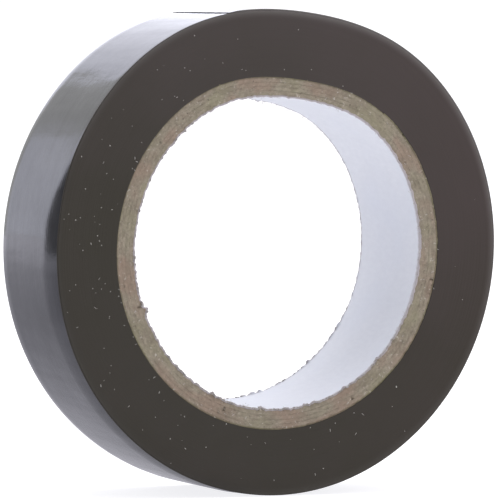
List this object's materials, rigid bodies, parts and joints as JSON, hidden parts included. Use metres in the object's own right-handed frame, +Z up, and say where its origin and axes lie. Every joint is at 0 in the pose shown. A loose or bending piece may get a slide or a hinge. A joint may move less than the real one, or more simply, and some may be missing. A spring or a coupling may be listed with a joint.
{
  "type": "electrical tape roll",
  "caption": "Roll of black PVC electrical tape on a spiral-wound paper core, with a free end that peels back off the roll.",
  "frame": {"origin": "middle of the core's bore, on the roll's axis and half way across the tape's width", "axes": "+Y along the roll's axis towards its back face, +Z up as the roll stands on its rim, +X to the right seen from the front"},
  "size_m": [0.0587, 0.015, 0.0578],
  "materials": {
    "liner_paper": "smooth white paper",
    "chipboard": "cut chipboard, rough",
    "kraft_wrap": "kraft paper",
    "tape_side": "matte edges of wound laps",
    "tape_film": "smooth glossy PVC film"
  },
  "bodies": {
    "roll": {"core_liner": "liner_paper", "core_ply_1": "chipboard", "core_ply_2": "chipboard", "core_ply_3": "chipboard", "core_ply_4": "chipboard", "core_outer_wrap": "kraft_wrap", "tape_coil": "tape_side"},
    "tail_1": {"tape_tail_1": "tape_film"},
    "tail_2": {"tape_tail_2": "tape_film"},
    "tail_3": {"tape_tail_3": "tape_film"},
    "tail_4": {"tape_tail_4": "tape_film"},
    "tail_5": {"tape_tail_5": "tape_film"},
    "tail_6": {"tape_tail_6": "tape_film"},
    "tail_7": {"tape_tail_7": "tape_film"},
    "tail_8": {"tape_tail_8": "tape_film"},
    "tail_9": {"tape_tail_9": "tape_film"}
  },
  "joints": [
    {"name": "tail_peel", "type": "hinge", "parent": "roll", "child": "tail_1", "pos_m": [0.02918, 0, -0.00255], "axis": [0, 1, 0], "range_deg": [0, 20]},
    {"name": "tail_bend_2", "type": "hinge", "parent": "tail_1", "child": "tail_2", "pos_m": [0.02908, 0, 0.00357], "axis": [0, 1, 0], "range_deg": [0, 20]},
    {"name": "tail_bend_3", "type": "hinge", "parent": "tail_2", "child": "tail_3", "pos_m": [0.02771, 0, 0.00954], "axis": [0, 1, 0], "range_deg": [0, 20]},
    {"name": "tail_bend_4", "type": "hinge", "parent": "tail_3", "child": "tail_4", "pos_m": [0.02511, 0, 0.01509], "axis": [0, 1, 0], "range_deg": [0, 20]},
    {"name": "tail_bend_5", "type": "hinge", "parent": "tail_4", "child": "tail_5", "pos_m": [0.02138, 0, 0.01993], "axis": [0, 1, 0], "range_deg": [0, 20]},
    {"name": "tail_bend_6", "type": "hinge", "parent": "tail_5", "child": "tail_6", "pos_m": [0.01663, 0, 0.02375], "axis": [0, 1, 0], "range_deg": [0, 20]},
    {"name": "tail_bend_7", "type": "hinge", "parent": "tail_6", "child": "tail_7", "pos_m": [0.01115, 0, 0.02627], "axis": [0, 1, 0], "range_deg": [0, 20]},
    {"name": "tail_bend_8", "type": "hinge", "parent": "tail_7", "child": "tail_8", "pos_m": [0.00537, 0, 0.02764], "axis": [0, 1, 0], "range_deg": [0, 20]},
    {"name": "tail_bend_9", "type": "hinge", "parent": "tail_8", "child": "tail_9", "pos_m": [-0.00049, 0, 0.02825], "axis": [0, 1, 0], "range_deg": [0, 20]}
  ],
  "couplings": [
    {"joint": "tail_bend_2", "follows": "tail_peel", "ratio": 1},
    {"joint": "tail_bend_3", "follows": "tail_peel", "ratio": 1},
    {"joint": "tail_bend_4", "follows": "tail_peel", "ratio": 1},
    {"joint": "tail_bend_5", "follows": "tail_peel", "ratio": 1},
    {"joint": "tail_bend_6", "follows": "tail_peel", "ratio": 1},
    {"joint": "tail_bend_7", "follows": "tail_peel", "ratio": 1},
    {"joint": "tail_bend_8", "follows": "tail_peel", "ratio": 1},
    {"joint": "tail_bend_9", "follows": "tail_peel", "ratio": 1}
  ]
}
